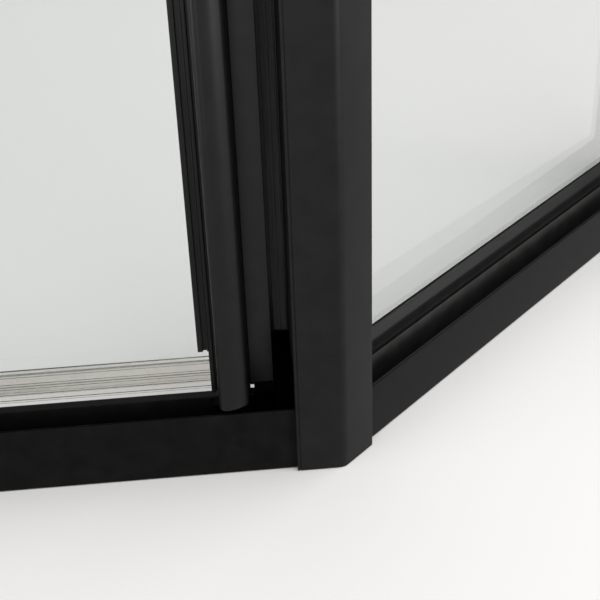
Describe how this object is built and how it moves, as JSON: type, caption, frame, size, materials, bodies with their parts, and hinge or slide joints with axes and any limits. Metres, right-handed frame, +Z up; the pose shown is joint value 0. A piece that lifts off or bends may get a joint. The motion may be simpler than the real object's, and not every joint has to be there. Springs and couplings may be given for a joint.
{
  "type": "pivot door corner shower enclosure",
  "caption": "Matt black framed angled corner shower enclosure with an outward pivot glass door between two corner posts and two fixed glass side panels.",
  "frame": {"origin": "centre of the 900 by 900 mm footprint, on the tray surface", "axes": "+Z up; the walls stand at X=+450 mm and Y=+450 mm; the door faces the direction (-1,-1,0)"},
  "size_m": [0.9, 0.9, 1.9],
  "materials": {
    "black_frame": "matt black powder coat on extruded aluminium",
    "black_plastic": "moulded black plastic, matt",
    "clear_glass": "clear 6 mm toughened glass",
    "clear_seal": "translucent flexible seal",
    "black_rubber": "black flexible rubber",
    "pile_fibre": "black woven pile",
    "magnet": "magnetic rubber strip, dark brown",
    "steel": "stainless steel",
    "black_steel": "black oxide steel"
  },
  "bodies": {
    "enclosure": {"corner_post_right": "black_frame", "side_bottom_rail_right": "black_frame", "side_top_rail_right": "black_frame", "bottom_glazing_bead_right": "black_frame", "top_glazing_bead_right": "black_frame", "wall_profile_right": "black_frame", "panel_stile_right": "black_frame", "post_cap_right": "black_plastic", "setting_blocks_right": "black_plastic", "fixed_glass_right": "clear_glass", "front_glazing_gaskets_right": "clear_seal", "upright_glazing_gaskets_right": "clear_seal", "rear_glazing_gaskets_right": "black_rubber", "corner_post_left": "black_frame", "side_bottom_rail_left": "black_frame", "side_top_rail_left": "black_frame", "bottom_glazing_bead_left": "black_frame", "top_glazing_bead_left": "black_frame", "wall_profile_left": "black_frame", "panel_stile_left": "black_frame", "post_cap_left": "black_plastic", "setting_blocks_left": "black_plastic", "fixed_glass_left": "clear_glass", "front_glazing_gaskets_left": "clear_seal", "upright_glazing_gaskets_left": "clear_seal", "rear_glazing_gaskets_left": "black_rubber", "adjusting_screws": "steel", "rail_screws": "steel", "jamb_screws": "black_steel", "pivot_block_screws": "black_steel", "lower_pivot_pin": "black_steel", "upper_pivot_pin": "black_steel", "adjusting_screw_caps": "black_plastic", "jamb_feet": "black_plastic", "corner_seal_blocks": "black_plastic", "lower_pivot_block": "black_plastic", "upper_pivot_block": "black_plastic", "door_sill_rail": "black_frame", "door_head_rail": "black_frame", "hinge_jamb": "black_frame", "strike_jamb": "black_frame", "jamb_pile_strip": "pile_fibre", "strike_pile_strip": "pile_fibre", "hinge_gap_seal": "black_rubber", "strike_seal": "black_rubber", "strike_magnet": "magnet"},
    "door_leaf": {"door_glass": "clear_glass", "hinge_stile": "black_frame", "hinge_nose_cover": "black_frame", "closing_stile": "black_frame", "grip_nose_cover": "black_frame", "lower_nose_plug": "black_plastic", "upper_nose_plug": "black_plastic", "grip_end_plugs": "black_plastic", "lower_pivot_bush": "black_plastic", "upper_pivot_bush": "black_plastic", "door_glass_gaskets": "black_rubber", "door_magnet_seal": "black_rubber", "door_bottom_seal": "clear_seal", "door_magnet": "magnet"}
  },
  "joints": [
    {"name": "door_swing", "type": "hinge", "parent": "enclosure", "child": "door_leaf", "pos_m": [-0.03536, -0.4005, 0], "axis": [0, 0, 1], "range_deg": [0, 95]}
  ]
}
